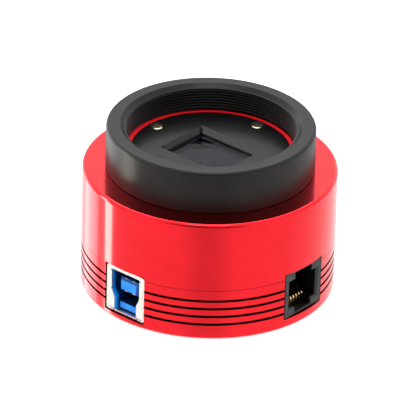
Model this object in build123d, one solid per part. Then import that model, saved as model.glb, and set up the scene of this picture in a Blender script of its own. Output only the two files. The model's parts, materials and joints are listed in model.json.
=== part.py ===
from build123d import *

import os
from math import cos, radians, sin, tan

# A small astronomy camera, as its separate pieces in one shared frame.
# Sizes are in millimetres. The origin is the centre of the rear face. +Z runs forward along the optical
# axis, -Y is the side with the USB socket and +X the side with the guide port.

# ---------------------------------------------------------------- body
BODY_R = 31.0
BODY_TOP_Z = 31.0
BODY_TOP_FILLET = 0.8
BODY_FOOT_FILLET = 0.5
WALL = 3.8
CAVITY_R = BODY_R - WALL
FLOOR = 1.45
ROOF = 3.5
ROOF_Z = BODY_TOP_Z - ROOF
PLAY = 0.05  # between pieces that fit into each other and stay there

# The parting line between the two housings, with the lip that centres one in the other.
SEAM_BELOW_BOARD = 1.18
SEAM_GAP = 0.1
LIP_WIDTH = 1.1
LIP_HEIGHT = 0.9
LIP_ROOM = 0.2

# Cooling grooves, cut all round the rear housing.
GROOVES = 4
GROOVE_WIDTH = 0.68
GROOVE_DEPTH = 2.0
GROOVE_PITCH = 2.115
GROOVE_TOP_BELOW_SEAM = 2.81  # down to the middle of the first groove

# ---------------------------------------------------------------- front thread and its adapter collar
PITCH = 0.75
THREAD_R = 21.0  # M42 x 0.75
THREAD_SLOPE = tan(radians(30))
THREAD_PLAY = 0.04  # along the axis, on each flank
THREAD_BITE = 0.08  # how far a thread cutter starts inside the hole it cuts
LEAD_IN_SLACK = 0.1  # a lead-in's mouth is wider than the thread's root by this
THREAD_NUDGES = 8
THREAD_SEAM_TURNS = (0, 111, 37, 74)  # in degrees
MINOR_R = THREAD_R - 0.5413 * PITCH
FEMALE_ROOT_R = THREAD_R + 0.03
MALE_CREST_R = THREAD_R - 0.05
MALE_ROOT_R = MINOR_R - 0.094
FEMALE_PHASE_Z = BODY_TOP_Z - PITCH / 3  # where the collar's groove passes over +X
NECK_HEIGHT = 4.1
NECK_TOP_Z = BODY_TOP_Z + NECK_HEIGHT
NECK_BORE_R = 19.45
NECK_RELIEF = 0.8  # the height of the plain foot under the neck's thread
NECK_RELIEF_SUNK = 0.15
NECK_FOOT_R = MALE_ROOT_R - NECK_RELIEF_SUNK

COLLAR_R = 25.4  # slides into a 2 inch draw tube
COLLAR_HEIGHT = 11.0
COLLAR_TOP_Z = BODY_TOP_Z + COLLAR_HEIGHT
COLLAR_FILLET = 0.9
COLLAR_FOOT_CHAMFER = 0.2
COLLAR_FOOT_LEAD_IN = 0.4
COLLAR_MOUTH_R = 22.0
COLLAR_MOUTH_DEPTH = 0.95
COLLAR_MOUTH_FOOT_R = FEMALE_ROOT_R + 0.04  # so the thread runs out on a flat face
UNDERCUT_LOW_Z = NECK_TOP_Z - 0.6  # parts the collar's own thread from the stretch that holds the neck
UNDERCUT_HIGH_Z = NECK_TOP_Z + 0.2
UNDERCUT_R = FEMALE_ROOT_R + 0.12

SEAL_INNER_R = 21.9
SEAL_OUTER_R = 24.0
SEAL_HEIGHT = 0.7
SEAL_SIDE_PLAY = 0.3
SEAL_TOP_PLAY = 0.1

# ---------------------------------------------------------------- sensor chamber
BACK_FOCUS = 6.5  # from the body's front face to the sensor
SENSOR_Z = BODY_TOP_Z - BACK_FOCUS
DIE_X, DIE_Y, DIE_T = 18.8, 14.6, 0.6
PACKAGE_X, PACKAGE_Y = 27.0, 22.5
PACKAGE_WELL_X, PACKAGE_WELL_Y = 21.0, 17.0
PACKAGE_FLOOR = 1.5
PACKAGE_RIM = 0.5  # the package's top above the sensor
PACKAGE_Z = SENSOR_Z - DIE_T - PACKAGE_FLOOR
PACKAGE_TOP_Z = SENSOR_Z + PACKAGE_RIM
LID_X, LID_Y, LID_T = 24.5, 20.0, 0.7
LID_ROOM = 0.5  # round the lid and over it, inside the seal
BOARD_T = 1.6
SENSOR_BOARD_TOP_Z = PACKAGE_Z
SENSOR_BOARD_Z = SENSOR_BOARD_TOP_Z - BOARD_T

LEDGE_Z = BODY_TOP_Z + 0.9  # what the chamber cover sits on
LEDGE_HOLE_X, LEDGE_HOLE_Y = 19.6, 15.6
LINER_HOLE_X, LINER_HOLE_Y = 18.2, 14.0
LINER_SUNK = 0.1
COVER_TOP_Z = NECK_TOP_Z + 0.1
COVER_R = NECK_BORE_R - 0.1
GLASS_X, GLASS_Y, GLASS_T = 21.0, 17.0, 1.1
GASKET_T = 0.5
GLASS_Z = LEDGE_Z + GASKET_T
GLASS_TOP_Z = GLASS_Z + GLASS_T
GLASS_PLAY = 0.2
SIGHT_X, SIGHT_Y = 17.9, 13.4
BEVEL_X, BEVEL_Y = 0.6, 1.05
SIGHT_LAND = 0.4  # the upright edge under the bevel
CORNER_RELIEF_R = 0.5
CORNER_RELIEF_X, CORNER_RELIEF_Y = 0.1, 0.2  # its middle, out from the sight's corner

# ---------------------------------------------------------------- screws
COVER_SCREW_R = 0.8
COVER_SCREW_LENGTH = 5.0
COVER_HOLE_DEPTH = 3.3  # below the ledge
COVER_SCREW_CIRCLE_R = 17.3
SENSOR_SCREW_R = 1.0
SENSOR_SCREW_LENGTH = 5.0
SENSOR_BOSS_R = 2.6
SENSOR_BOARD_R = COVER_SCREW_CIRCLE_R + SENSOR_BOSS_R
HOUSING_SCREW_R = 1.25
HOUSING_SCREW_LENGTH = 18.0
HOUSING_HOLE_DEPTH = 7.0  # above the main board
HOUSING_BOSS_R = 3.2
HOUSING_SCREW_CIRCLE_R = CAVITY_R - 3.8
COVER_SCREW_TURN, HOUSING_SCREW_TURN = 22, 30  # where the cross slots stop, in degrees
HEAD_RATIO = 1.88  # head radius over thread radius
HEAD_HEIGHT_RATIO = 1.25
HEAD_ROOM = 0.25
HEAD_SUNK = 0.1
HOUSING_HEAD_SUNK = 0.3
BOSS_ROOM = 0.3  # between the rear bosses and the lip of the front housing
SCREW_PLAY = 0.05
CLEARANCE_PLAY = 0.2

# ---------------------------------------------------------------- USB socket (outside view: +X is right)
USB_W = 11.9
USB_H = 12.1
USB_D = 18.0
USB_FRONT = BODY_R - 0.75
USB_BACK = USB_FRONT - USB_D
USB_Z = FLOOR + 0.05
USB_TOP_Z = USB_Z + USB_H
USB_GAP_LEFT, USB_GAP_RIGHT = 0.5, 0.15  # between the socket and the opening in the body
USB_GAP_TOP, USB_GAP_UNDER = 0.4, 0.35
USB_SHEET = 0.35
USB_MOUTH_W = 8.8
USB_MOUTH_NARROW_W = 7.0
USB_RIM = 0.35  # how far the insulator shows inside the shell's narrow mouth
USB_MOUTH_TOP = 0.9  # metal left above the mouth
USB_MOUTH_WIDE_H = 5.4
USB_MOUTH_SLANT_H = 2.05
USB_TONGUE_W, USB_TONGUE_H = 6.0, 3.65
USB_TONGUE_RISE = 5.35  # from the shell's underside
USB_TONGUE_SUNK = 1.15
USB_TONGUE_CHAMFER = 0.6
USB_FINE_W, USB_FINE_H = 5.2, 1.6  # the narrow tongue under the wide one
USB_FINE_RISE = 0.8
USB_CAVITY_D = 9.0
USB_PIN_SPACING = 2.5
USB_PIN_W, USB_PIN_T = 0.8, 0.25
USB_PIN_SUNK = 1.65
USB_FINE_PINS = 5
USB_FINE_PITCH = 1.0
USB_FINE_PIN_W = 0.4
USB_TAIL = 0.3
USB_TAIL_STEP = 1.3
USB_PIN_BLOCK_W = 5.4
USB_ROUNDING, USB_INNER_ROUNDING = 0.6, 0.25
USB_SLIT = 0.3
USB_FOLD_SLIT = 0.2

# ---------------------------------------------------------------- guide port, a six-way modular jack
GUIDE_W = 13.1
GUIDE_H = 11.85
GUIDE_D = 18.0
GUIDE_FRONT = BODY_R - 0.65
GUIDE_BACK = GUIDE_FRONT - GUIDE_D
GUIDE_Z = 2.45
GUIDE_TOP_Z = GUIDE_Z + GUIDE_H
GUIDE_GAP = 0.25  # round the jack in the opening in the body
GUIDE_EDGE = 0.25
JACK_MOUTH_W = 10.0
JACK_MOUTH_H = 7.3
JACK_MOUTH_RISE = 2.05  # from the jack's underside
JACK_MOUTH_D = 12.3
JACK_LEAD_IN = 0.4
LATCH_W, LATCH_H = 6.3, 2.1
COMB_W, COMB_H, COMB_D = 6.1, 1.6, 3.4
WIRES = 6
WIRE_PITCH = 1.02
WIRE = 0.4
WIRE_SLOT = 0.6
WIRE_RISE = 1.05  # the wires' centre line over the jack's underside
WIRE_FRONT_SUNK = 2.6
WIRE_BEND_RISE = 2.8
WIRE_TIP_RISE = 4.7
WIRE_TIP_SUNK = 6.6
WIRE_TAIL_SUNK = 16.4
WIRE_TAIL_STEP = 2.54
WIRE_BEND_R = 0.45
OPTOCOUPLER_SUNK = 9.4

# ---------------------------------------------------------------- main board and what is on it
USB_UNDER_BOARD = 0.7
BOARD_Z = max(USB_TOP_Z + USB_UNDER_BOARD, GUIDE_TOP_Z)
BOARD_TOP_Z = BOARD_Z + BOARD_T
MAIN_BOARD_R = CAVITY_R - 0.6
TAIL_TOP_Z = BOARD_TOP_Z + 0.6  # the sockets' pins stand out of the board by this
TAIL_HOLE_R = 0.35
SEAM_Z = BOARD_Z - SEAM_BELOW_BOARD
STACK = SENSOR_BOARD_Z - BOARD_TOP_Z
CONNECTOR_L, CONNECTOR_W = 22.0, 5.0
CONNECTOR_Y = 9.0
CONNECTOR_SPLIT = 0.53  # share of the stack that the lower half takes
CONNECTOR_KEY_W, CONNECTOR_KEY_H = 1.4, 1.5
CONNECTOR_KEY_L = CONNECTOR_L - 1.6
CONNECTOR_PLAY = 0.1
CHIP_X = -13.0
CHIP_SIDE, CHIP_T = 10.0, 1.2
CHIP_CHAMFER = 0.15
CHIP_STAND = 0.15
CHIP_LEG_T, CHIP_FOOT_L = 0.2, 0.9
CHIP_LEG_SHARE = 0.4  # of the legs' pitch
PAD_T = 1.5
PEDESTAL_SIDE = 11.0
PEDESTAL_Z = BOARD_Z - CHIP_T - PAD_T

# ---------------------------------------------------------------- tripod thread, 1/4 inch, 20 turns an inch
TRIPOD_R = 3.175
TRIPOD_PITCH = 1.27
TRIPOD_MINOR_R = 2.55
TRIPOD_ROOT_R = 3.22
TRIPOD_LEAD_IN = 0.7
INSERT_R = 4.2
INSERT_LENGTH = 8.0
INSERT_SUNK = 0.1
INSERT_FLOOR = 0.8
TRIPOD_BOSS_R = 6.0

PAST = 1.0  # how far a solid that cuts runs past the faces it opens
SQUARE_ANGLES = (0, 90, 180, 270)
DIAGONAL_ANGLES = (45, 135, 225, 315)
ON_BASE = (Align.CENTER, Align.CENTER, Align.MIN)


# ================================================================ shared shapes
def disc(radius, low, high, x=0.0, y=0.0):
    """A round bar along Z between two heights."""
    return Pos(x, y, low) * Cylinder(radius, high - low, align=ON_BASE)


def tube(outer, inner, low, high):
    return disc(outer, low, high) - disc(inner, low - PAST, high + PAST)


def cone(low_radius, high_radius, low, high):
    return Pos(0, 0, low) * Cone(low_radius, high_radius, high - low, align=ON_BASE)


def block(x, y, z):
    """A box given by its (low, high) limits along each axis."""
    centre = Pos((x[0] + x[1]) / 2, (y[0] + y[1]) / 2, (z[0] + z[1]) / 2)
    return centre * Box(x[1] - x[0], y[1] - y[0], z[1] - z[0])


def slab(length, width, low, high, x=0.0, y=0.0):
    """A box centred over a point, between two heights."""
    return Pos(x, y, low) * Box(length, width, high - low, align=ON_BASE)


def polar(radius, angle):
    return radius * cos(radians(angle)), radius * sin(radians(angle))


def all_of(shapes):
    """Several separate shapes as one."""
    shapes = list(shapes)
    joined = shapes[0]
    for shape in shapes[1:]:
        joined = joined + shape
    return joined


def thread_groove(pitch, inner, inner_half, outer, outer_half, low, high, phase_z):
    """What a thread tool removes: a groove that climbs to the right, between two radii and heights.

    Its middle passes over the +X axis at phase_z, wherever it starts.
    """
    path = Helix(pitch=pitch, height=high - low, radius=(inner + outer) / 2)
    section = make_face(
        Polyline(
            (inner, -inner_half),
            (outer, -outer_half),
            (outer, outer_half),
            (inner, inner_half),
            close=True,
        )
    )
    upright = Plane(origin=(0, 0, 0), x_dir=(1, 0, 0), z_dir=(0, -PAST, 0))
    turn = 360 * (low - phase_z) / pitch
    return Pos(0, 0, low) * Rot(0, 0, turn) * sweep(upright * section, path=path, is_frenet=True)


def cut_thread(ring, pitch, inner, inner_half, outer, outer_half, low, high, phase_z):
    """Takes a thread's groove out of a plain ring.

    A cut can come out empty where the ring's seam meets the groove's edges. It is then made again with
    the groove's open ends a little further out, or with the ring turned, which leaves the thread as it was.
    """
    for seam_turn in THREAD_SEAM_TURNS:
        turned = Rot(0, 0, seam_turn) * ring
        for nudge in range(THREAD_NUDGES):
            start = low - nudge * pitch * 0.07
            end = high + nudge * pitch * 0.13
            groove = thread_groove(pitch, inner, inner_half, outer, outer_half, start, end, phase_z)
            cut = turned - groove
            removed = ring.volume - cut.volume
            if cut.is_valid and groove.volume * 0.2 < removed < groove.volume:
                return cut
    raise ValueError("the thread could not be cut")


def ridge_half_width(radius, major, pitch):
    """Half the width of a thread's ridge at a radius, for the standard 60 degree form."""
    return pitch / 16 + (major - radius) * THREAD_SLOPE


def pan_screw(thread_r, length):
    """A cross-head screw that points down, with the underside of its head at height 0."""
    head_r = thread_r * HEAD_RATIO
    head_h = thread_r * HEAD_HEIGHT_RATIO
    head = disc(head_r, 0, head_h)
    head = fillet(head.edges().sort_by(Axis.Z)[-1], head_h * 0.5)
    arm = slab(head_r * 1.1, head_r * 0.28, head_h * 0.4, head_h + PAST)
    shank = disc(thread_r, -length, 0)
    shank = chamfer(shank.edges().sort_by(Axis.Z)[0], thread_r * 0.25)
    return head + shank - arm - Rot(0, 0, 90) * arm


def wall_boss(angle, low, high, reach):
    """A boss for a housing screw, with a web that runs out to a radius."""
    x, y = polar(HOUSING_SCREW_CIRCLE_R, angle)
    web = block((HOUSING_SCREW_CIRCLE_R, BODY_R), (-HOUSING_BOSS_R, HOUSING_BOSS_R), (low, high))
    boss = disc(HOUSING_BOSS_R, low, high, x, y) + Rot(0, 0, angle) * web
    return boss & disc(reach, low, high)


def port_cuts():
    """The two openings in the side of the body, as solids to take away."""
    inward = CAVITY_R - 4
    usb = block(
        (-USB_W / 2 - USB_GAP_LEFT, USB_W / 2 + USB_GAP_RIGHT),
        (-BODY_R - PAST, -inward),
        (USB_Z - USB_GAP_UNDER, USB_TOP_Z + USB_GAP_TOP),
    )
    half = GUIDE_W / 2 + GUIDE_GAP
    guide = block((inward, BODY_R + PAST), (-half, half), (GUIDE_Z - GUIDE_GAP, GUIDE_TOP_Z + GUIDE_GAP))
    return usb + guide


# ================================================================ housings and collar
def threaded_neck():
    """The ring that the collar screws on, with a plain relief at its foot."""
    root = disc(MALE_CREST_R, BODY_TOP_Z - NECK_RELIEF, NECK_TOP_Z)
    root = root - tube(THREAD_R + PAST, NECK_FOOT_R, BODY_TOP_Z, BODY_TOP_Z + NECK_RELIEF)
    outer = MALE_CREST_R + PLAY / 10
    inner_half = PITCH / 2 - ridge_half_width(MALE_ROOT_R, THREAD_R, PITCH) + THREAD_PLAY
    outer_half = PITCH / 2 - ridge_half_width(outer, THREAD_R, PITCH) + THREAD_PLAY
    low = BODY_TOP_Z + NECK_RELIEF * 0.4
    high = NECK_TOP_Z + PITCH * 1.2
    phase_z = FEMALE_PHASE_Z + PITCH / 2
    neck = cut_thread(
        root, PITCH, MALE_ROOT_R, inner_half, outer, outer_half, low, high, phase_z
    )
    return neck - disc(NECK_BORE_R, BODY_TOP_Z - PAST, NECK_TOP_Z + PAST)


def front_housing():
    body = disc(BODY_R, SEAM_Z + SEAM_GAP / 2, BODY_TOP_Z)
    body = fillet(body.edges().sort_by(Axis.Z)[-1], BODY_TOP_FILLET)
    body = body - disc(CAVITY_R, 0, ROOF_Z)
    body = body - disc(CAVITY_R + LIP_WIDTH + PLAY, 0, SEAM_Z + LIP_HEIGHT + LIP_ROOM)
    for angle in DIAGONAL_ANGLES:
        x, y = polar(HOUSING_SCREW_CIRCLE_R, angle)
        body = body + wall_boss(angle, BOARD_TOP_Z, ROOF_Z, CAVITY_R + PAST)
        tip = BOARD_TOP_Z + HOUSING_HOLE_DEPTH
        body = body - disc(HOUSING_SCREW_R + SCREW_PLAY, BOARD_TOP_Z - PAST, tip, x, y)
    body = body + disc(NECK_FOOT_R, BODY_TOP_Z - PAST, LEDGE_Z)
    for angle in SQUARE_ANGLES:
        x, y = polar(COVER_SCREW_CIRCLE_R, angle)
        body = body + disc(SENSOR_BOSS_R, SENSOR_BOARD_TOP_Z, ROOF_Z, x, y)
        tip = SENSOR_BOARD_TOP_Z + SENSOR_SCREW_LENGTH
        body = body - disc(SENSOR_SCREW_R + SCREW_PLAY, SENSOR_BOARD_TOP_Z - PAST, tip, x, y)
        tip = LEDGE_Z - COVER_HOLE_DEPTH
        body = body - disc(COVER_SCREW_R + SCREW_PLAY, tip, LEDGE_Z + PAST, x, y)
    body = body - slab(LEDGE_HOLE_X, LEDGE_HOLE_Y, ROOF_Z - PAST, LEDGE_Z + PAST)
    return body - port_cuts() + threaded_neck()


def rear_housing():
    body = disc(BODY_R, 0, SEAM_Z - SEAM_GAP / 2)
    body = fillet(body.edges().sort_by(Axis.Z)[0], BODY_FOOT_FILLET)
    lip_r = CAVITY_R + LIP_WIDTH
    body = body + disc(lip_r, SEAM_Z - PAST, SEAM_Z + LIP_HEIGHT)
    body = body - disc(CAVITY_R, FLOOR, BODY_TOP_Z)
    for n in range(GROOVES):
        middle = SEAM_Z - GROOVE_TOP_BELOW_SEAM - n * GROOVE_PITCH
        half = GROOVE_WIDTH / 2
        body = body - tube(BODY_R + PAST, BODY_R - GROOVE_DEPTH, middle - half, middle + half)
    body = body - port_cuts()
    body = body + disc(TRIPOD_BOSS_R, FLOOR, INSERT_SUNK + INSERT_LENGTH + INSERT_FLOOR)
    body = body + slab(PEDESTAL_SIDE, PEDESTAL_SIDE, FLOOR, PEDESTAL_Z, CHIP_X)
    body = body - disc(INSERT_R, -PAST, INSERT_SUNK + INSERT_LENGTH)
    sink = HOUSING_SCREW_R * HEAD_HEIGHT_RATIO + HOUSING_HEAD_SUNK
    for angle in DIAGONAL_ANGLES:
        x, y = polar(HOUSING_SCREW_CIRCLE_R, angle)
        body = body + wall_boss(angle, FLOOR, SEAM_Z - SEAM_GAP / 2, CAVITY_R + PAST)
        body = body + wall_boss(angle, SEAM_Z - PAST, BOARD_Z, CAVITY_R - BOSS_ROOM)
        body = body - disc(HOUSING_SCREW_R + CLEARANCE_PLAY, -PAST, BOARD_Z + PAST, x, y)
        body = body - disc(HOUSING_SCREW_R * HEAD_RATIO + HEAD_ROOM, -PAST, sink, x, y)
    return body


def front_collar():
    body = disc(COLLAR_R, BODY_TOP_Z, COLLAR_TOP_Z) - disc(MINOR_R, BODY_TOP_Z - PAST, COLLAR_TOP_Z + PAST)
    inner = MINOR_R - THREAD_BITE
    inner_half = ridge_half_width(inner, THREAD_R, PITCH)
    outer_half = ridge_half_width(FEMALE_ROOT_R, THREAD_R, PITCH)
    low = BODY_TOP_Z - PITCH * 4 / 3
    high = COLLAR_TOP_Z
    body = cut_thread(
        body, PITCH, inner, inner_half, FEMALE_ROOT_R, outer_half, low, high, FEMALE_PHASE_Z
    )
    mouth_z = COLLAR_TOP_Z - COLLAR_MOUTH_DEPTH
    body = body - cone(COLLAR_MOUTH_FOOT_R, COLLAR_MOUTH_R, mouth_z, COLLAR_TOP_Z)
    body = body - cone(FEMALE_ROOT_R + LEAD_IN_SLACK, MINOR_R, BODY_TOP_Z, BODY_TOP_Z + COLLAR_FOOT_LEAD_IN)
    body = body - disc(UNDERCUT_R, UNDERCUT_LOW_Z, UNDERCUT_HIGH_Z)
    outside = disc(COLLAR_R, BODY_TOP_Z, COLLAR_TOP_Z)
    outside = fillet(outside.edges().sort_by(Axis.Z)[-1], COLLAR_FILLET)
    body = body & chamfer(outside.edges().sort_by(Axis.Z)[0], COLLAR_FOOT_CHAMFER)
    seal_z = BODY_TOP_Z + SEAL_HEIGHT + SEAL_TOP_PLAY
    inner = SEAL_INNER_R - SEAL_SIDE_PLAY
    return body - tube(SEAL_OUTER_R + SEAL_SIDE_PLAY, inner, BODY_TOP_Z - PAST, seal_z)


def collar_seal_ring():
    return tube(SEAL_OUTER_R, SEAL_INNER_R, BODY_TOP_Z, BODY_TOP_Z + SEAL_HEIGHT)


def tripod_insert():
    low = INSERT_SUNK
    high = low + INSERT_LENGTH
    body = tube(INSERT_R, TRIPOD_MINOR_R, low, high)
    inner = TRIPOD_MINOR_R - THREAD_BITE
    inner_half = ridge_half_width(inner, TRIPOD_R, TRIPOD_PITCH)
    outer_half = ridge_half_width(TRIPOD_ROOT_R, TRIPOD_R, TRIPOD_PITCH)
    phase_z = low + TRIPOD_PITCH / 3
    body = cut_thread(
        body, TRIPOD_PITCH, inner, inner_half, TRIPOD_ROOT_R, outer_half,
        low - TRIPOD_PITCH * 4 / 3, high + TRIPOD_PITCH * 0.6, phase_z,
    )
    return body - cone(TRIPOD_ROOT_R + LEAD_IN_SLACK, TRIPOD_MINOR_R, low, low + TRIPOD_LEAD_IN)


# ================================================================ sensor chamber
def chamber_cover():
    body = disc(COVER_R, LEDGE_Z, COVER_TOP_Z)
    bevel_z = GLASS_TOP_Z + SIGHT_LAND
    low = Plane.XY.offset(bevel_z) * Rectangle(SIGHT_X, SIGHT_Y)
    high = Plane.XY.offset(COVER_TOP_Z) * Rectangle(SIGHT_X + 2 * BEVEL_X, SIGHT_Y + 2 * BEVEL_Y)
    body = body - loft([low, high])
    body = body - slab(SIGHT_X, SIGHT_Y, LEDGE_Z, bevel_z)
    body = body - slab(GLASS_X + 2 * GLASS_PLAY, GLASS_Y + 2 * GLASS_PLAY, LEDGE_Z, GLASS_TOP_Z)
    for side_x in (-1, 1):
        for side_y in (-1, 1):
            x = side_x * (SIGHT_X / 2 + CORNER_RELIEF_X)
            y = side_y * (SIGHT_Y / 2 + CORNER_RELIEF_Y)
            body = body - disc(CORNER_RELIEF_R, LEDGE_Z, COVER_TOP_Z + PAST, x, y)
    for angle in SQUARE_ANGLES:
        x, y = polar(COVER_SCREW_CIRCLE_R, angle)
        body = body - disc(COVER_SCREW_R + CLEARANCE_PLAY, LEDGE_Z - PAST, COVER_TOP_Z + PAST, x, y)
        room = COVER_SCREW_R * HEAD_RATIO + HEAD_ROOM
        body = body - disc(room, cover_head_z(), COVER_TOP_Z + PAST, x, y)
    return body


def cover_head_z():
    """The height of the faces that the cover screws' heads press on."""
    return COVER_TOP_Z - HEAD_SUNK - COVER_SCREW_R * HEAD_HEIGHT_RATIO


def protect_window():
    return slab(GLASS_X, GLASS_Y, GLASS_Z, GLASS_TOP_Z)


def window_gasket():
    hole = slab(LEDGE_HOLE_X, LEDGE_HOLE_Y, LEDGE_Z - PAST, GLASS_Z + PAST)
    return slab(GLASS_X, GLASS_Y, LEDGE_Z, GLASS_Z) - hole


def sensor_chamber_seal():
    """One soft moulding: a foot on the sensor package and a dark liner up through the ledge."""
    foot = slab(PACKAGE_X, PACKAGE_Y, PACKAGE_TOP_Z, ROOF_Z)
    foot = foot - slab(LID_X + LID_ROOM, LID_Y + LID_ROOM, PACKAGE_TOP_Z, PACKAGE_TOP_Z + LID_T + LID_ROOM)
    liner = slab(LEDGE_HOLE_X - 2 * PLAY, LEDGE_HOLE_Y - 2 * PLAY, ROOF_Z - PAST, LEDGE_Z - LINER_SUNK)
    hole = slab(LINER_HOLE_X, LINER_HOLE_Y, PACKAGE_TOP_Z - PAST, LEDGE_Z + PAST)
    return foot + liner - hole


def sensor_package():
    body = slab(PACKAGE_X, PACKAGE_Y, PACKAGE_Z, PACKAGE_TOP_Z)
    return body - slab(PACKAGE_WELL_X, PACKAGE_WELL_Y, PACKAGE_Z + PACKAGE_FLOOR, PACKAGE_TOP_Z + PAST)


def sensor_die():
    return slab(DIE_X, DIE_Y, SENSOR_Z - DIE_T, SENSOR_Z)


def sensor_lid():
    return slab(LID_X, LID_Y, PACKAGE_TOP_Z, PACKAGE_TOP_Z + LID_T)


def sensor_board():
    body = disc(SENSOR_BOARD_R, SENSOR_BOARD_Z, SENSOR_BOARD_TOP_Z)
    for angle in SQUARE_ANGLES:
        x, y = polar(COVER_SCREW_CIRCLE_R, angle)
        low, high = SENSOR_BOARD_Z - PAST, SENSOR_BOARD_TOP_Z + PAST
        body = body - disc(SENSOR_SCREW_R + CLEARANCE_PLAY, low, high, x, y)
    return body


def sensor_board_capacitors():
    """Small chip capacitors under the sensor, in two rows."""
    length, width, height = 2.0, 1.25, 0.9
    across, pitch = 6, 3.2
    rows = []
    for y in (-9.0, -5.0):
        for n in range(across):
            x = (n - (across - 1) / 2) * pitch
            rows.append(slab(length, width, SENSOR_BOARD_Z - height, SENSOR_BOARD_Z, x, y))
    return all_of(rows)


# ================================================================ screws
def cover_screws():
    screw = pan_screw(COVER_SCREW_R, COVER_SCREW_LENGTH)
    height = cover_head_z()
    places = [polar(COVER_SCREW_CIRCLE_R, angle) for angle in SQUARE_ANGLES]
    return all_of(Pos(x, y, height) * Rot(0, 0, COVER_SCREW_TURN) * screw for x, y in places)


def sensor_board_screws():
    screw = Rot(180, 0, 0) * pan_screw(SENSOR_SCREW_R, SENSOR_SCREW_LENGTH)
    places = [polar(COVER_SCREW_CIRCLE_R, angle) for angle in SQUARE_ANGLES]
    return all_of(Pos(x, y, SENSOR_BOARD_Z) * screw for x, y in places)


def housing_screws():
    screw = Rot(180, 0, 0) * pan_screw(HOUSING_SCREW_R, HOUSING_SCREW_LENGTH)
    height = HOUSING_SCREW_R * HEAD_HEIGHT_RATIO + HOUSING_HEAD_SUNK
    places = [polar(HOUSING_SCREW_CIRCLE_R, angle) for angle in DIAGONAL_ANGLES]
    return all_of(Pos(x, y, height) * Rot(0, 0, HOUSING_SCREW_TURN) * screw for x, y in places)


# ================================================================ USB socket
def usb_mouth(front, back, narrow_w):
    """The stepped mouth, wide above and narrow below, as a solid between two depths."""
    top = USB_TOP_Z - USB_MOUTH_TOP
    shoulder = top - USB_MOUTH_WIDE_H
    waist = shoulder - USB_MOUTH_SLANT_H
    foot = USB_Z + USB_SHEET
    wide, narrow = USB_MOUTH_W / 2, narrow_w / 2
    outline = Polyline(
        (-wide, top), (wide, top), (wide, shoulder), (narrow, waist), (narrow, foot),
        (-narrow, foot), (-narrow, waist), (-wide, shoulder), close=True,
    )
    facing_out = Plane(origin=(0, -back, 0), x_dir=(1, 0, 0), z_dir=(0, -PAST, 0))
    return extrude(facing_out * make_face(outline), front - back)


def usb_box(inset, front, back, roundness):
    """The socket's outer box, drawn in by an inset, between two distances from the axis."""
    half = USB_W / 2 - inset
    body = block((-half, half), (-front, -back), (USB_Z + inset, USB_TOP_Z - inset))
    return fillet(body.edges().filter_by(Axis.Y), roundness)


def usb_socket_shell():
    body = usb_box(0, USB_FRONT, USB_BACK, USB_ROUNDING)
    body = body - usb_box(USB_SHEET, USB_FRONT - USB_SHEET, USB_BACK - PAST, USB_INNER_ROUNDING)
    body = body - usb_mouth(USB_FRONT + PAST, USB_FRONT - PAST, USB_MOUTH_NARROW_W)
    return body - usb_pin_block(USB_TOP_Z + PAST, USB_GAP_RIGHT) - usb_relief_slits()


def usb_relief_slits():
    """The short gaps where the folded sheet of the socket's front meets itself."""
    depth = (-USB_FRONT - PAST, -USB_FRONT + USB_SHEET)
    wide, narrow = USB_MOUTH_W / 2, USB_MOUTH_NARROW_W / 2
    foot = USB_Z + USB_SHEET
    top = USB_TOP_Z - USB_MOUTH_TOP
    shoulder = top - USB_MOUTH_WIDE_H
    half = USB_SLIT / 2
    slits = [block((-wide - USB_SLIT, -wide + USB_SLIT), depth, (shoulder - half, shoulder + half))]
    for side in (-1, 1):
        corner = side * (narrow + half)
        slits.append(block((corner - half, corner + half), depth, (USB_Z - PAST, foot + USB_FOLD_SLIT)))
        fold = sorted((side * narrow, side * (USB_W / 2 - USB_ROUNDING)))
        slits.append(block(fold, depth, (foot, foot + USB_FOLD_SLIT)))
        corner = side * wide
        low = top - USB_MOUTH_TOP / 2
        slits.append(block((corner - USB_SLIT, corner + USB_SLIT), depth, (low - half, low + half)))
    return all_of(slits)


def usb_pin_block(top, margin):
    """The part of the insulator that carries the pins up to the board."""
    half = USB_PIN_BLOCK_W / 2 + margin
    front = usb_tail_distance(0) + 0.9 + margin
    return block((-half, half), (-front, -USB_BACK + margin), (USB_TOP_Z - PAST, top))


def usb_tail_distance(row):
    """How far from the axis each row of pins turns up to the board."""
    return USB_BACK + 1.2 + (2 - row) * USB_TAIL_STEP


def usb_socket_insulator():
    front = USB_FRONT - USB_SHEET
    body = usb_box(USB_SHEET, front, USB_BACK + 0.2, USB_INNER_ROUNDING)
    body = body - usb_mouth(front + PAST, USB_FRONT - USB_CAVITY_D, USB_MOUTH_NARROW_W - 2 * USB_RIM)
    tip = USB_FRONT - USB_TONGUE_SUNK
    root = USB_FRONT - USB_CAVITY_D - 1
    low = USB_Z + USB_TONGUE_RISE
    half = USB_TONGUE_W / 2
    tongue = block((-half, half), (-tip, -root), (low, low + USB_TONGUE_H))
    tip_edges = tongue.faces().sort_by(Axis.Y)[0].edges()
    tongue = chamfer(tip_edges, USB_TONGUE_CHAMFER)
    low = USB_Z + USB_FINE_RISE
    half = USB_FINE_W / 2
    fine = block((-half, half), (-tip, -root), (low, low + USB_FINE_H))
    body = body + tongue + fine + usb_pin_block(BOARD_Z, 0)
    return body - usb_contacts()


def usb_pin(x, tip, surface_z, side, width, tail_distance):
    """A flat contact on a tongue, run back through the insulator and up to the board."""
    low, high = sorted((surface_z, surface_z - side * USB_PIN_T))
    half = width / 2
    blade = block((x - half, x + half), (-tip, -tail_distance + USB_TAIL / 2), (low, high))
    tail_low, tail_high = -tail_distance - USB_TAIL / 2, -tail_distance + USB_TAIL / 2
    tail = block((x - USB_TAIL / 2, x + USB_TAIL / 2), (tail_low, tail_high), (low, TAIL_TOP_Z))
    return blade + tail


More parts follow.
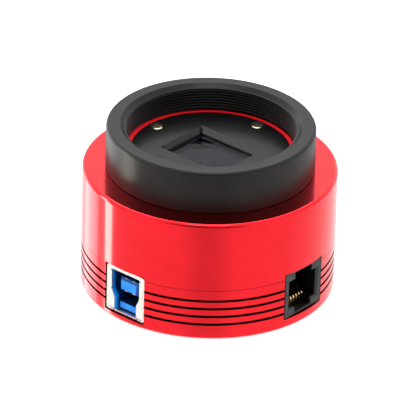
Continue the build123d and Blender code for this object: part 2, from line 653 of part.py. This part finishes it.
def usb_contacts():
    tip = USB_FRONT - USB_PIN_SUNK
    underside = USB_Z + USB_TONGUE_RISE
    pins = []
    for x in (-USB_PIN_SPACING / 2, USB_PIN_SPACING / 2):
        top = underside + USB_TONGUE_H
        pins.append(usb_pin(x, tip, top, 1, USB_PIN_W, usb_tail_distance(0)))
        pins.append(usb_pin(x, tip, underside, -1, USB_PIN_W, usb_tail_distance(1)))
    top = USB_Z + USB_FINE_RISE + USB_FINE_H
    for x in fine_pin_places():
        pins.append(usb_pin(x, tip, top, 1, USB_FINE_PIN_W, usb_tail_distance(2)))
    return all_of(pins)


def fine_pin_places():
    return [(n - (USB_FINE_PINS - 1) / 2) * USB_FINE_PITCH for n in range(USB_FINE_PINS)]


# ================================================================ guide port
def wire_places():
    """Each wire's place across the jack, and how far its tail is from the axis."""
    places = []
    for n in range(WIRES):
        y = (n - (WIRES - 1) / 2) * WIRE_PITCH
        tail = GUIDE_FRONT - WIRE_TAIL_SUNK + (n % 2) * WIRE_TAIL_STEP
        places.append((y, tail))
    return places


def jack_lead_in(mouth_z, ceiling_z):
    """The slope all round the jack's mouth that guides a plug in."""
    face = Plane(origin=(GUIDE_FRONT, 0, (mouth_z + ceiling_z) / 2), x_dir=(0, 1, 0), z_dir=(1, 0, 0))
    height = ceiling_z - mouth_z
    inner = face.offset(-JACK_LEAD_IN) * Rectangle(JACK_MOUTH_W, height)
    outer = face * Rectangle(JACK_MOUTH_W + 2 * JACK_LEAD_IN, height + 2 * JACK_LEAD_IN)
    return loft([inner, outer])


def guide_port_housing():
    half = GUIDE_W / 2
    body = block((GUIDE_BACK, GUIDE_FRONT), (-half, half), (GUIDE_Z, GUIDE_TOP_Z))
    body = chamfer(body.edges().filter_by(Axis.X), GUIDE_EDGE)
    mouth_z = GUIDE_Z + JACK_MOUTH_RISE
    ceiling_z = mouth_z + JACK_MOUTH_H
    depth = (GUIDE_FRONT - JACK_MOUTH_D, GUIDE_FRONT + PAST)
    half = JACK_MOUTH_W / 2
    body = body - block(depth, (-half, half), (mouth_z, ceiling_z))
    body = body - jack_lead_in(mouth_z, ceiling_z)
    half = LATCH_W / 2
    body = body - block(depth, (-half, half), (ceiling_z - PAST, ceiling_z + LATCH_H))
    half = COMB_W / 2
    comb = (GUIDE_FRONT - COMB_D, GUIDE_FRONT + PAST)
    body = body - block(comb, (-half, half), (mouth_z - COMB_H, mouth_z + PAST))
    slot = WIRE_SLOT / 2
    for y, tail in wire_places():
        across = (y - slot, y + slot)
        low = GUIDE_Z + WIRE_RISE - slot
        body = body - block((tail - slot, GUIDE_FRONT - COMB_D), across, (low, mouth_z + PAST))
        body = body - block((tail - slot, tail + slot), across, (low, GUIDE_TOP_Z + PAST))
    return body


def guide_port_contacts():
    """Sprung wires that run forward along the floor of the jack and fold back into its mouth."""
    wires = []
    run_z = GUIDE_Z + WIRE_RISE
    front = GUIDE_FRONT - WIRE_FRONT_SUNK
    for y, tail in wire_places():
        path = FilletPolyline(
            (tail, y, TAIL_TOP_Z),
            (tail, y, run_z),
            (front, y, run_z),
            (front, y, GUIDE_Z + WIRE_BEND_RISE),
            (GUIDE_FRONT - WIRE_TIP_SUNK, y, GUIDE_Z + WIRE_TIP_RISE),
            radius=WIRE_BEND_R,
        )
        section = Plane(origin=(tail, y, TAIL_TOP_Z), z_dir=(0, 0, -1)) * Rectangle(WIRE, WIRE)
        wires.append(sweep(section, path=path))
    return all_of(wires)


# ================================================================ main board
def tail_holes():
    """Where the sockets' pins come up through the main board."""
    places = []
    for x in (-USB_PIN_SPACING / 2, USB_PIN_SPACING / 2):
        places.append((x, -usb_tail_distance(0)))
        places.append((x, -usb_tail_distance(1)))
    for x in fine_pin_places():
        places.append((x, -usb_tail_distance(2)))
    for y, tail in wire_places():
        places.append((tail, y))
    return places


def main_board():
    body = disc(MAIN_BOARD_R, BOARD_Z, BOARD_TOP_Z)
    for angle in DIAGONAL_ANGLES:
        x, y = polar(HOUSING_SCREW_CIRCLE_R, angle)
        body = body - disc(HOUSING_SCREW_R + CLEARANCE_PLAY, BOARD_Z - PAST, BOARD_TOP_Z + PAST, x, y)
    for x, y in tail_holes():
        body = body - disc(TAIL_HOLE_R, BOARD_Z - PAST, BOARD_TOP_Z + PAST, x, y)
    return body


def usb_controller_chip():
    body = slab(CHIP_SIDE, CHIP_SIDE, BOARD_Z - CHIP_T, BOARD_Z, CHIP_X)
    return chamfer(body.faces().sort_by(Axis.Z)[0].edges(), CHIP_CHAMFER)


def controller_thermal_pad():
    return slab(CHIP_SIDE, CHIP_SIDE, PEDESTAL_Z, PEDESTAL_Z + PAD_T, CHIP_X)


def frame_memory_chip():
    length, width, height = 13.0, 8.0, 1.1
    body = slab(length, width, BOARD_TOP_Z, BOARD_TOP_Z + height, 0, -1.5)
    return chamfer(body.faces().sort_by(Axis.Z)[-1].edges(), CHIP_CHAMFER)


def legged_chip(length, width, height, legs, x, y):
    """A chip with bent legs down its two long sides."""
    low, bend = BOARD_TOP_Z + CHIP_STAND, BOARD_TOP_Z + height / 2
    body = slab(length, width, low, BOARD_TOP_Z + height, x, y)
    body = chamfer(body.faces().sort_by(Axis.Z)[-1].edges(), CHIP_CHAMFER)
    pitch = length / legs
    leg_w = pitch * CHIP_LEG_SHARE
    for n in range(legs):
        leg_x = x + (n - (legs - 1) / 2) * pitch
        for side in (-1, 1):
            edge = y + side * width / 2
            foot_y = edge + side * (CHIP_FOOT_L / 2 - CHIP_LEG_T / 2)
            foot = slab(leg_w, CHIP_FOOT_L, BOARD_TOP_Z, low, leg_x, foot_y)
            rise = slab(leg_w, CHIP_LEG_T, BOARD_TOP_Z, bend, leg_x, edge + side * CHIP_LEG_T / 2)
            body = body + foot + rise
    return body


def flash_memory_chip():
    length, width, height, legs = 5.2, 4.0, 1.6, 4
    return legged_chip(length, width, height, legs, 9.0, -14.0)


def guide_optocouplers():
    """One small isolator for each of the four guide directions."""
    length, width, height, legs = 2.6, 3.6, 2.0, 2
    count, pitch = 4, 5.6
    x = GUIDE_FRONT - OPTOCOUPLER_SUNK
    places = [(n - (count - 1) / 2) * pitch for n in range(count)]
    return all_of(legged_chip(length, width, height, legs, x, y) for y in places)


def crystal_oscillator():
    length, width, height, rounding = 3.2, 2.5, 0.8, 0.4
    body = slab(length, width, BOARD_TOP_Z, BOARD_TOP_Z + height, 0, 15.0)
    return fillet(body.edges().filter_by(Axis.Z), rounding)


def power_inductors():
    side, height, rounding = 4.0, 2.0, 0.5
    first_y, pitch = -9.0, 4.9
    coils = []
    for n in range(3):
        body = slab(side, side, BOARD_TOP_Z, BOARD_TOP_Z + height, -13.5, first_y + n * pitch)
        coils.append(fillet(body.edges().filter_by(Axis.Z), rounding))
    return all_of(coils)


def board_capacitors():
    length, width, height = 3.2, 1.6, 1.2
    top, pitch = BOARD_TOP_Z + height, 4.0
    columns = ((-9.0, -10.0), (9.0, -8.0))  # each column's X, and its first Y
    return all_of(
        slab(width, length, BOARD_TOP_Z, top, x, first_y + n * pitch)
        for n in range(4)
        for x, first_y in columns
    )


def connector_split_z():
    return BOARD_TOP_Z + STACK * CONNECTOR_SPLIT


def board_connector_socket():
    """The lower half of the link between the boards, with a long slot."""
    top = connector_split_z()
    body = slab(CONNECTOR_L, CONNECTOR_W, BOARD_TOP_Z, top, 0, CONNECTOR_Y)
    low = top - CONNECTOR_KEY_H - CONNECTOR_PLAY
    length, width = CONNECTOR_KEY_L + 2 * CONNECTOR_PLAY, CONNECTOR_KEY_W + 2 * CONNECTOR_PLAY
    return body - slab(length, width, low, top + PAST, 0, CONNECTOR_Y)


def board_connector_plug():
    """The upper half, whose long key goes down into the slot."""
    low = connector_split_z()
    body = slab(CONNECTOR_L, CONNECTOR_W, low, SENSOR_BOARD_Z, 0, CONNECTOR_Y)
    key = slab(CONNECTOR_KEY_L, CONNECTOR_KEY_W, low - CONNECTOR_KEY_H, low, 0, CONNECTOR_Y)
    return body + key


NODES = (
    front_housing, rear_housing, front_collar, collar_seal_ring, tripod_insert, chamber_cover,
    protect_window, window_gasket, sensor_chamber_seal, sensor_package, sensor_die, sensor_lid,
    sensor_board, sensor_board_capacitors, cover_screws, sensor_board_screws, housing_screws,
    usb_socket_shell, usb_socket_insulator, usb_contacts, guide_port_housing, guide_port_contacts,
    main_board, usb_controller_chip, controller_thermal_pad, frame_memory_chip, flash_memory_chip,
    guide_optocouplers, crystal_oscillator, power_inductors, board_capacitors,
    board_connector_socket, board_connector_plug,
)

os.makedirs("parts", exist_ok=True)
for make in NODES:
    export_step(make(), f"parts/{make.__name__}.step")
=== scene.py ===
import json
from math import cos, pi, radians, sin

import bpy
from mathutils import Matrix, Vector

# The camera stands on its rear face at the origin, with the optical axis along +Z. Lengths are in metres.
MM = 0.001

# ---------------------------------------------------------------- view
VIEW_AZIMUTH = radians(40.2)  # round from the USB side towards the guide port
VIEW_ELEVATION = radians(28.43)
VIEW_ROLL = radians(1.622)
VIEW_DISTANCE = 1.1707
VIEW_TARGET = Vector((-0.194, -0.164, 18.915)) * MM
LENS_MM = 416.34
SENSOR_MM = 36.0

# ---------------------------------------------------------------- light
WORLD_STRENGTH = 1.06
DARK_PLACE = (0, 8)  # azimuth left of the camera and elevation, in degrees
DARK_RADIUS = 45  # in degrees
DARK_SHARE = 0.3
FLOOR_SIZE = 3.0
FLOOR_GLOW = 0.3
PANEL_DISTANCE = 1.0
# azimuth left of the camera, elevation, width, height, radiance, colour
PANELS = {
    "strip_left": (101, -10, 0.16, 1.4, 12.0, (1, 1, 0.8)),
    "panel_left": (133, -10, 0.5, 1.4, 1.4, (1, 1, 1)),
    "softbox_back": (175, 62, 0.8, 0.8, 2.6, (1, 1, 1)),
    "softbox_front": (0, 72, 0.45, 0.45, 4.0, (1, 1, 1)),
}

# ---------------------------------------------------------------- where finishes, painted shade and a painted highlight change
# Each pair is where a smooth change starts and ends.
BODY_SKIN_R = (29.6 * MM, 30.7 * MM)  # outside it the red shows, inside it the grooves' floors get painted shade
SHOULDER_Z = (30.5 * MM, 30.9 * MM)
REAR_FACE_Z = (0.3 * MM, 0.7 * MM)
NECK_LAND_R = (20.9 * MM, 21.4 * MM)
NECK_LAND_Z = (34.0 * MM, 34.6 * MM)
# past it, inside the USB mouth, the blue gets painted shade
USB_MOUTH_Y = (-29.6 * MM, -28.6 * MM)
# inside it the jack's plastic is painted near black as shade
JACK_FRONT_R = (29.9 * MM, 30.3 * MM)
LEVEL = (0.85, 0.97)  # how far up a face looks, from a bevel with its painted highlight to a level face
OUTWARD = (0.6, 0.9)  # how far out of the USB mouth a face looks; faces that look out stay clear of the painted shade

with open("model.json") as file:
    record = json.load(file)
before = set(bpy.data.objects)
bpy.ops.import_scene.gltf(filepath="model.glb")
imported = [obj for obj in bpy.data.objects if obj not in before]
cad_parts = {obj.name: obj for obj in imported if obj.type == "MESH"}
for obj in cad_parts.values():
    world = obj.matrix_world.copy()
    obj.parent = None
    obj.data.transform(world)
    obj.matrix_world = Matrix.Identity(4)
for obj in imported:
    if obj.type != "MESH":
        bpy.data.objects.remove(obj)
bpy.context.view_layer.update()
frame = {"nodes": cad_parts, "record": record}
nodes = frame["nodes"]


# ================================================================ node trees
def add_node(tree, kind, inputs=None, **settings):
    """A shader node with its settings and unlinked inputs filled in."""
    made = tree.nodes.new(kind)
    for name, value in settings.items():
        setattr(made, name, value)
    for name, value in (inputs or {}).items():
        made.inputs[name].default_value = value
    return made


def new_material(name, **inputs):
    """A material with one Principled shader. Underscores in the names stand for spaces."""
    material = bpy.data.materials.new(name)
    material.use_nodes = True
    shader = material.node_tree.nodes["Principled BSDF"]
    for key, value in inputs.items():
        shader.inputs[key.replace("_", " ")].default_value = value
    return material, material.node_tree, shader


def place(tree):
    """Where a point is on the object, in metres."""
    return add_node(tree, "ShaderNodeTexCoord").outputs["Object"]


def noise(tree, size, detail=3.0, roughness=0.5, where=None):
    """Noise with features of a given size in metres."""
    made = add_node(
        tree, "ShaderNodeTexNoise", {"Scale": 1 / size, "Detail": detail, "Roughness": roughness}
    )
    tree.links.new(where or place(tree), made.inputs["Vector"])
    return made.outputs["Fac"]


def ramp(tree, source, stops):
    """Turns a value into a colour by (position, colour) stops."""
    made = add_node(tree, "ShaderNodeValToRGB")
    elements = made.color_ramp.elements
    while len(elements) < len(stops):
        elements.new(0.5)
    for element, (position, colour) in zip(elements, stops):
        element.position = position
        element.color = (*colour, 1)
    tree.links.new(source, made.inputs["Fac"])
    return made.outputs["Color"]


def spread(tree, source, low, high):
    """Maps a value from 0..1 to low..high."""
    made = add_node(tree, "ShaderNodeMapRange", {"To Min": low, "To Max": high})
    tree.links.new(source, made.inputs["Value"])
    return made.outputs["Result"]


def bump(tree, shader, source, height, strength=1.0, under=None):
    """Raises the surface by a height in metres where the source is high."""
    made = add_node(tree, "ShaderNodeBump", {"Strength": strength, "Distance": height})
    tree.links.new(source, made.inputs["Height"])
    if under is not None:
        tree.links.new(under, made.inputs["Normal"])
    tree.links.new(made.outputs["Normal"], shader.inputs["Normal"])
    return made.outputs["Normal"]


def radius_and_height(tree):
    """A point's distance from the optical axis, and its height."""
    split = add_node(tree, "ShaderNodeSeparateXYZ")
    tree.links.new(place(tree), split.inputs["Vector"])
    flat = add_node(tree, "ShaderNodeCombineXYZ")
    tree.links.new(split.outputs["X"], flat.inputs["X"])
    tree.links.new(split.outputs["Y"], flat.inputs["Y"])
    length = add_node(tree, "ShaderNodeVectorMath", operation="LENGTH")
    tree.links.new(flat.outputs["Vector"], length.inputs[0])
    return length.outputs["Value"], split.outputs["Z"]


def step(tree, source, low, high):
    """0 below low, 1 above high, and a smooth rise between them."""
    made = add_node(
        tree, "ShaderNodeMapRange", {"From Min": low, "From Max": high}, interpolation_type="SMOOTHSTEP"
    )
    tree.links.new(source, made.inputs["Value"])
    return made.outputs["Result"]


def mix_colour(tree, share, first, second):
    """Blends two colours, which are constants or links."""
    made = add_node(tree, "ShaderNodeMix", data_type="RGBA")
    sockets = [s for s in made.inputs if s.type == "RGBA"]
    for socket, value in zip(sockets, (first, second)):
        if isinstance(value, tuple):
            socket.default_value = (*value, 1)
        else:
            tree.links.new(value, socket)
    tree.links.new(share, made.inputs["Factor"])
    return [s for s in made.outputs if s.type == "RGBA"][0]


# ================================================================ materials
def along(tree, axis):
    """A point's place along one axis, in metres."""
    split = add_node(tree, "ShaderNodeSeparateXYZ")
    tree.links.new(place(tree), split.inputs["Vector"])
    return split.outputs[axis]


def facing(tree, axis):
    """How far the surface faces along an axis, from -1 to 1."""
    split = add_node(tree, "ShaderNodeSeparateXYZ")
    tree.links.new(add_node(tree, "ShaderNodeNewGeometry").outputs["True Normal"], split.inputs["Vector"])
    return split.outputs[axis]


def calculate(tree, operation, first, second):
    """One sum on two values, which are numbers or links."""
    made = add_node(tree, "ShaderNodeMath", operation=operation)
    for socket, value in zip(made.inputs, (first, second)):
        if isinstance(value, (int, float)):
            socket.default_value = value
        else:
            tree.links.new(value, socket)
    return made.outputs[0]


def turned_rings(tree, pitch):
    """Fine rings round the optical axis, as a lathe tool leaves them."""
    radius, height = radius_and_height(tree)
    travel = calculate(tree, "ADD", radius, height)
    turns = calculate(tree, "MULTIPLY", travel, 2 * pi / pitch)
    return calculate(tree, "SINE", turns, 0.0)


def red_anodised():
    """Glossy red dye on turned aluminium. The grooves' floors and the inside are painted dark as shade."""
    material, tree, shader = new_material(
        "red_anodised", Metallic=1.0, Coat_Weight=0.45, Coat_Roughness=0.08, Coat_IOR=1.5
    )
    cloud = noise(tree, 9 * MM, 2.0)
    face = ramp(tree, cloud, ((0.3, (0.88, 0.004, 0.013)), (0.7, (0.95, 0.006, 0.018))))
    radius, height = radius_and_height(tree)
    outside = step(tree, radius, *BODY_SKIN_R)
    above = step(tree, height, *SHOULDER_Z)
    rear_face = calculate(tree, "SUBTRACT", 1.0, step(tree, height, *REAR_FACE_Z))
    # inside the skin radius, below the shoulder and above the rear face, the red is painted near black as
    # shade
    unshaded_red = calculate(tree, "MAXIMUM", calculate(tree, "MAXIMUM", outside, above), rear_face)
    colour = mix_colour(tree, unshaded_red, (0.012, 0.001, 0.001), face)
    tree.links.new(colour, shader.inputs["Base Color"])
    # the land round the neck shows as a rough bright ring
    near_neck = calculate(tree, "SUBTRACT", 1.0, step(tree, radius, *NECK_LAND_R))
    land = calculate(tree, "MULTIPLY", near_neck, step(tree, height, *NECK_LAND_Z))
    tree.links.new(spread(tree, land, 1.0, 0.2), shader.inputs["Metallic"])
    grain = noise(tree, 0.12 * MM, 2.0)
    sheen = spread(tree, grain, 0.12, 0.19)
    extra = calculate(tree, "MULTIPLY", land, 0.3)
    tree.links.new(calculate(tree, "ADD", sheen, extra), shader.inputs["Roughness"])
    rings = bump(tree, shader, turned_rings(tree, 0.09 * MM), 0.0002 * MM, 0.4)
    bump(tree, shader, grain, 0.0012 * MM, 0.6, under=rings)
    return material


def black_anodised(name, tone, low, high, shine, bevel_highlight_tone=None):
    """Satin black on turned aluminium. Bevels can be given a lighter tone than level faces, as a painted
    highlight.
    """
    material, tree, shader = new_material(name, Metallic=0.0, Specular_IOR_Level=shine)
    cloud = noise(tree, 6 * MM, 3.0)
    dark = (tone * 0.8,) * 3
    light = (tone * 1.25,) * 3
    colour = ramp(tree, cloud, ((0.35, dark), (0.65, light)))
    # bevels get a lighter tone as a painted highlight
    if bevel_highlight_tone:
        level = step(tree, facing(tree, "Z"), *LEVEL)
        colour = mix_colour(tree, level, (bevel_highlight_tone,) * 3, colour)
    tree.links.new(colour, shader.inputs["Base Color"])
    grain = noise(tree, 0.1 * MM, 2.0)
    tree.links.new(spread(tree, grain, low, high), shader.inputs["Roughness"])
    rings = bump(tree, shader, turned_rings(tree, 0.11 * MM), 0.0003 * MM, 0.5)
    bump(tree, shader, grain, 0.002 * MM, 0.6, under=rings)
    return material


def metal(name, colour, low, high):
    """Bare or plated metal with faint cloudiness and a fine grain."""
    material, tree, shader = new_material(name, Metallic=1.0)
    cloud = noise(tree, 1.5 * MM, 3.0)
    dark = tuple(c * 0.88 for c in colour)
    tree.links.new(ramp(tree, cloud, ((0.35, dark), (0.7, colour))), shader.inputs["Base Color"])
    grain = noise(tree, 0.15 * MM, 3.0)
    tree.links.new(spread(tree, grain, low, high), shader.inputs["Roughness"])
    bump(tree, shader, grain, 0.001 * MM, 0.5)
    return material


def plastic(name, colour, low, high, **inputs):
    """Moulded plastic, rubber or ceramic with a slightly uneven tone and a moulded grain."""
    material, tree, shader = new_material(name, **inputs)
    cloud = noise(tree, 2 * MM, 3.0)
    dark = tuple(c * 0.8 for c in colour)
    tree.links.new(ramp(tree, cloud, ((0.35, dark), (0.65, colour))), shader.inputs["Base Color"])
    grain = noise(tree, 0.2 * MM, 4.0)
    tree.links.new(spread(tree, grain, low, high), shader.inputs["Roughness"])
    bump(tree, shader, grain, 0.004 * MM, 0.5)
    return material


def usb_blue():
    """The socket's insulator: bright at the tongue, with painted shade making it navy down inside the
    mouth.
    """
    material, tree, shader = new_material("blue_plastic", Specular_IOR_Level=0.4)
    cloud = noise(tree, 2 * MM, 3.0)
    bright = ramp(tree, cloud, ((0.35, (0.001, 0.22, 0.78)), (0.65, (0.002, 0.28, 0.92))))
    outward = step(tree, calculate(tree, "MULTIPLY", facing(tree, "Y"), -1.0), *OUTWARD)
    mouth = calculate(tree, "SUBTRACT", 1.0, step(tree, along(tree, "Y"), *USB_MOUTH_Y))
    lit = calculate(tree, "MAXIMUM", outward, mouth)
    # inside the mouth, faces that don't look out are painted navy as shade
    tree.links.new(mix_colour(tree, lit, (0.001, 0.02, 0.1), bright), shader.inputs["Base Color"])
    grain = noise(tree, 0.2 * MM, 4.0)
    tree.links.new(spread(tree, grain, 0.25, 0.38), shader.inputs["Roughness"])
    bump(tree, shader, grain, 0.003 * MM, 0.5)
    return material


def jack_black():
    """The guide port's plastic: grey at its front frame, with painted shade making it black down inside.
    """
    material, tree, shader = new_material("black_plastic", Specular_IOR_Level=0.3)
    cloud = noise(tree, 2 * MM, 3.0)
    front = ramp(tree, cloud, ((0.35, (0.03, 0.03, 0.032)), (0.65, (0.045, 0.045, 0.048))))
    radius, _ = radius_and_height(tree)
    unshaded_front = step(tree, radius, *JACK_FRONT_R)
    # inside the front frame the plastic is painted near black as shade
    tree.links.new(mix_colour(tree, unshaded_front, (0.002, 0.002, 0.002), front), shader.inputs["Base Color"])
    grain = noise(tree, 0.2 * MM, 4.0)
    tree.links.new(spread(tree, grain, 0.42, 0.55), shader.inputs["Roughness"])
    bump(tree, shader, grain, 0.004 * MM, 0.5)
    return material


def coated_glass():
    """Thin clear glass under an anti-reflection film."""
    material, tree, shader = new_material(
        "coated_glass", Roughness=0.0, IOR=1.15, Transmission_Weight=1.0,
        Coat_Weight=0.12, Coat_Roughness=0.02, Coat_IOR=1.5, Coat_Tint=(0.8, 0.75, 1.0, 1),
    )
    film = noise(tree, 14 * MM, 1.0)
    tint = ramp(tree, film, ((0.35, (0.78, 0.86, 0.92)), (0.65, (0.86, 0.78, 0.92))))
    tree.links.new(tint, shader.inputs["Base Color"])
    return material


def sensor_silicon():
    """Silicon with a broad blue and violet play of colour over its fine pixels."""
    material, tree, shader = new_material("sensor_silicon", Metallic=0.7)
    play = noise(tree, 7 * MM, 1.0)
    colour = ramp(tree, play, ((0.35, (0.035, 0.055, 0.085)), (0.65, (0.07, 0.065, 0.11))))
    tree.links.new(colour, shader.inputs["Base Color"])
    pixels = noise(tree, 0.02 * MM, 1.0)
    tree.links.new(spread(tree, pixels, 0.18, 0.24), shader.inputs["Roughness"])
    return material


MATERIALS = {
    "red_anodised": red_anodised(),
    "black_anodised": black_anodised("black_anodised", 0.006, 0.34, 0.44, 0.3),
    "black_anodised_fine": black_anodised("black_anodised_fine", 0.004, 0.2, 0.28, 0.3, bevel_highlight_tone=0.055),
    "stainless": metal("stainless", (0.62, 0.61, 0.6), 0.2, 0.35),
    "screw_nickel": metal("screw_nickel", (0.62, 0.54, 0.42), 0.2, 0.34),
    "tinned_steel": metal("tinned_steel", (0.86, 0.84, 0.79), 0.25, 0.4),
    "gold_plate": metal("gold_plate", (0.95, 0.68, 0.3), 0.15, 0.25),
    "seal_rubber": plastic("seal_rubber", (0.012, 0.012, 0.012), 0.7, 0.9),
    "coated_glass": coated_glass(),
    "package_ceramic": plastic("package_ceramic", (0.1, 0.09, 0.08), 0.5, 0.7),
    "sensor_silicon": sensor_silicon(),
    "board_black": plastic(
        "board_black", (0.012, 0.02, 0.014), 0.3, 0.45, Coat_Weight=0.3, Coat_Roughness=0.2
    ),
    "capacitor_ceramic": plastic("capacitor_ceramic", (0.35, 0.22, 0.12), 0.4, 0.6),
    "blue_plastic": usb_blue(),
    "black_plastic": jack_black(),
    "chip_epoxy": plastic("chip_epoxy", (0.02, 0.02, 0.022), 0.5, 0.7),
    "thermal_silicone": plastic("thermal_silicone", (0.35, 0.42, 0.5), 0.7, 0.9),
    "ferrite_grey": plastic("ferrite_grey", (0.07, 0.07, 0.075), 0.6, 0.8),
    "connector_plastic": plastic("connector_plastic", (0.6, 0.52, 0.38), 0.4, 0.6),
}


def dress_nodes():
    """Gives every CAD node the material of its slot in the record."""
    for entry in frame["record"]["subparts"]:
        mesh = nodes[entry["node"]].data
        mesh.materials.clear()
        mesh.materials.append(MATERIALS[entry["material_slot"]])


# ================================================================ studio
def add_floor():
    """A plain white floor just under the rear face, bright enough to show no edge."""
    half = FLOOR_SIZE / 2
    corners = [(-half, -half, 0), (half, -half, 0), (half, half, 0), (-half, half, 0)]
    mesh = bpy.data.meshes.new("floor")
    mesh.from_pydata(corners, [], [(0, 1, 2, 3)])
    material, tree, shader = new_material("floor_white", Roughness=0.9, Specular_IOR_Level=0.0)
    paper = ramp(tree, noise(tree, 0.2, 1.0), ((0.3, (0.95,) * 3), (0.7, (0.96,) * 3)))
    tree.links.new(paper, shader.inputs["Base Color"])
    shader.inputs["Emission Color"].default_value = (1, 1, 1, 1)
    shader.inputs["Emission Strength"].default_value = FLOOR_GLOW
    mesh.materials.append(material)
    floor = bpy.data.objects.new("floor", mesh)
    floor.location.z = -0.05 * MM
    floor.visible_glossy = False
    bpy.context.scene.collection.objects.link(floor)


def direction(azimuth, elevation):
    """The way towards a place in the studio, by degrees left of the camera's side and above the floor."""
    turn = VIEW_AZIMUTH - radians(90) - radians(azimuth)
    flat = cos(radians(elevation))
    return Vector((cos(turn) * flat, sin(turn) * flat, sin(radians(elevation))))


def add_world():
    """An even white room that is darker round the camera's side."""
    world = bpy.data.worlds.new("studio")
    world.use_nodes = True
    tree = world.node_tree
    background = tree.nodes["Background"]
    background.inputs["Color"].default_value = (1, 1, 1, 1)
    way = add_node(tree, "ShaderNodeTexCoord").outputs["Generated"]
    towards = add_node(tree, "ShaderNodeVectorMath", {1: direction(*DARK_PLACE)}, operation="DOT_PRODUCT")
    tree.links.new(way, towards.inputs[0])
    edge, core = cos(radians(DARK_RADIUS)), cos(radians(DARK_RADIUS / 2))
    dark = step(tree, towards.outputs["Value"], edge, core)
    strength = spread(tree, dark, WORLD_STRENGTH, WORLD_STRENGTH * DARK_SHARE)
    tree.links.new(strength, background.inputs["Strength"])
    bpy.context.scene.world = world


def add_panel(name, azimuth, elevation, width, height, radiance, colour):
    """A soft panel that faces the object."""
    way = direction(azimuth, elevation)
    light = bpy.data.lights.new(name, "AREA")
    light.shape = "RECTANGLE"
    light.color = colour
    light.size = width
    light.size_y = height
    light.energy = radiance * width * height * pi
    panel = bpy.data.objects.new(name, light)
    panel.location = way * PANEL_DISTANCE
    panel.rotation_euler = (-way).to_track_quat("-Z", "Y").to_euler()
    panel.visible_camera = False
    bpy.context.scene.collection.objects.link(panel)


def add_camera():
    """The camera, at the photo's angle."""
    flat = cos(VIEW_ELEVATION)
    way = Vector((sin(VIEW_AZIMUTH) * flat, -cos(VIEW_AZIMUTH) * flat, sin(VIEW_ELEVATION)))
    data = bpy.data.cameras.new("view")
    data.lens = LENS_MM
    data.sensor_width = SENSOR_MM
    data.clip_end = 20
    view = bpy.data.objects.new("view", data)
    facing = (-way).to_track_quat("-Z", "Y").to_matrix().to_4x4()
    view.matrix_world = (
        Matrix.Translation(VIEW_TARGET + way * VIEW_DISTANCE) @ facing @ Matrix.Rotation(VIEW_ROLL, 4, "Z")
    )
    bpy.context.scene.collection.objects.link(view)
    bpy.context.scene.camera = view


dress_nodes()
add_floor()
add_world()
for panel_name, settings in PANELS.items():
    add_panel(panel_name, *settings)
add_camera()
bpy.context.scene.view_settings.view_transform = "Standard"
